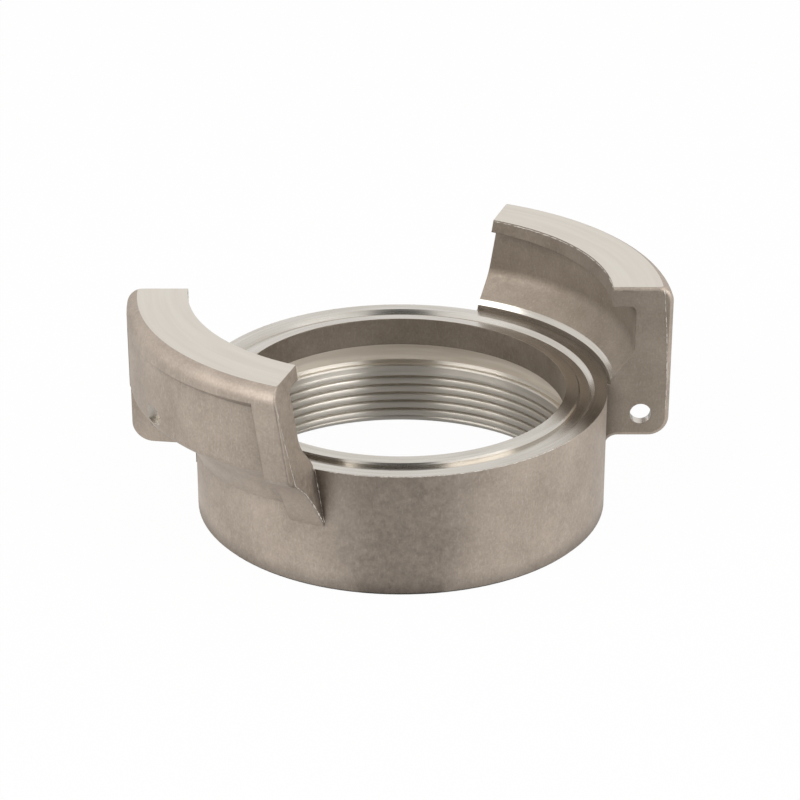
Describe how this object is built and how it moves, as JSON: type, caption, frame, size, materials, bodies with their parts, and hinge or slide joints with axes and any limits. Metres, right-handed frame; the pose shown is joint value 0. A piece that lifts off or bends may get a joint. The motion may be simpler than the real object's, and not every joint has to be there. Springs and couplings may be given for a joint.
{
  "type": "quarter turn fire hose coupling",
  "caption": "One-piece cast half coupling for a hose or pump: a threaded collar with a seal groove and two hooked claws that lock on a like half by a quarter turn.",
  "frame": {"origin": "centre of the threaded end's flat face, on the bore axis", "axes": "+Z along the bore axis, from the threaded end to the claws; the flat ends of the two claws and their chain ears lie in the XZ plane, on +X and -X"},
  "size_m": [0.1308, 0.1208, 0.056],
  "materials": {
    "stainless_steel": "as-cast and blasted, with turned sealing face, thread and claw tops"
  },
  "bodies": {
    "root": {"coupling_body": "stainless_steel"}
  },
  "joints": []
}
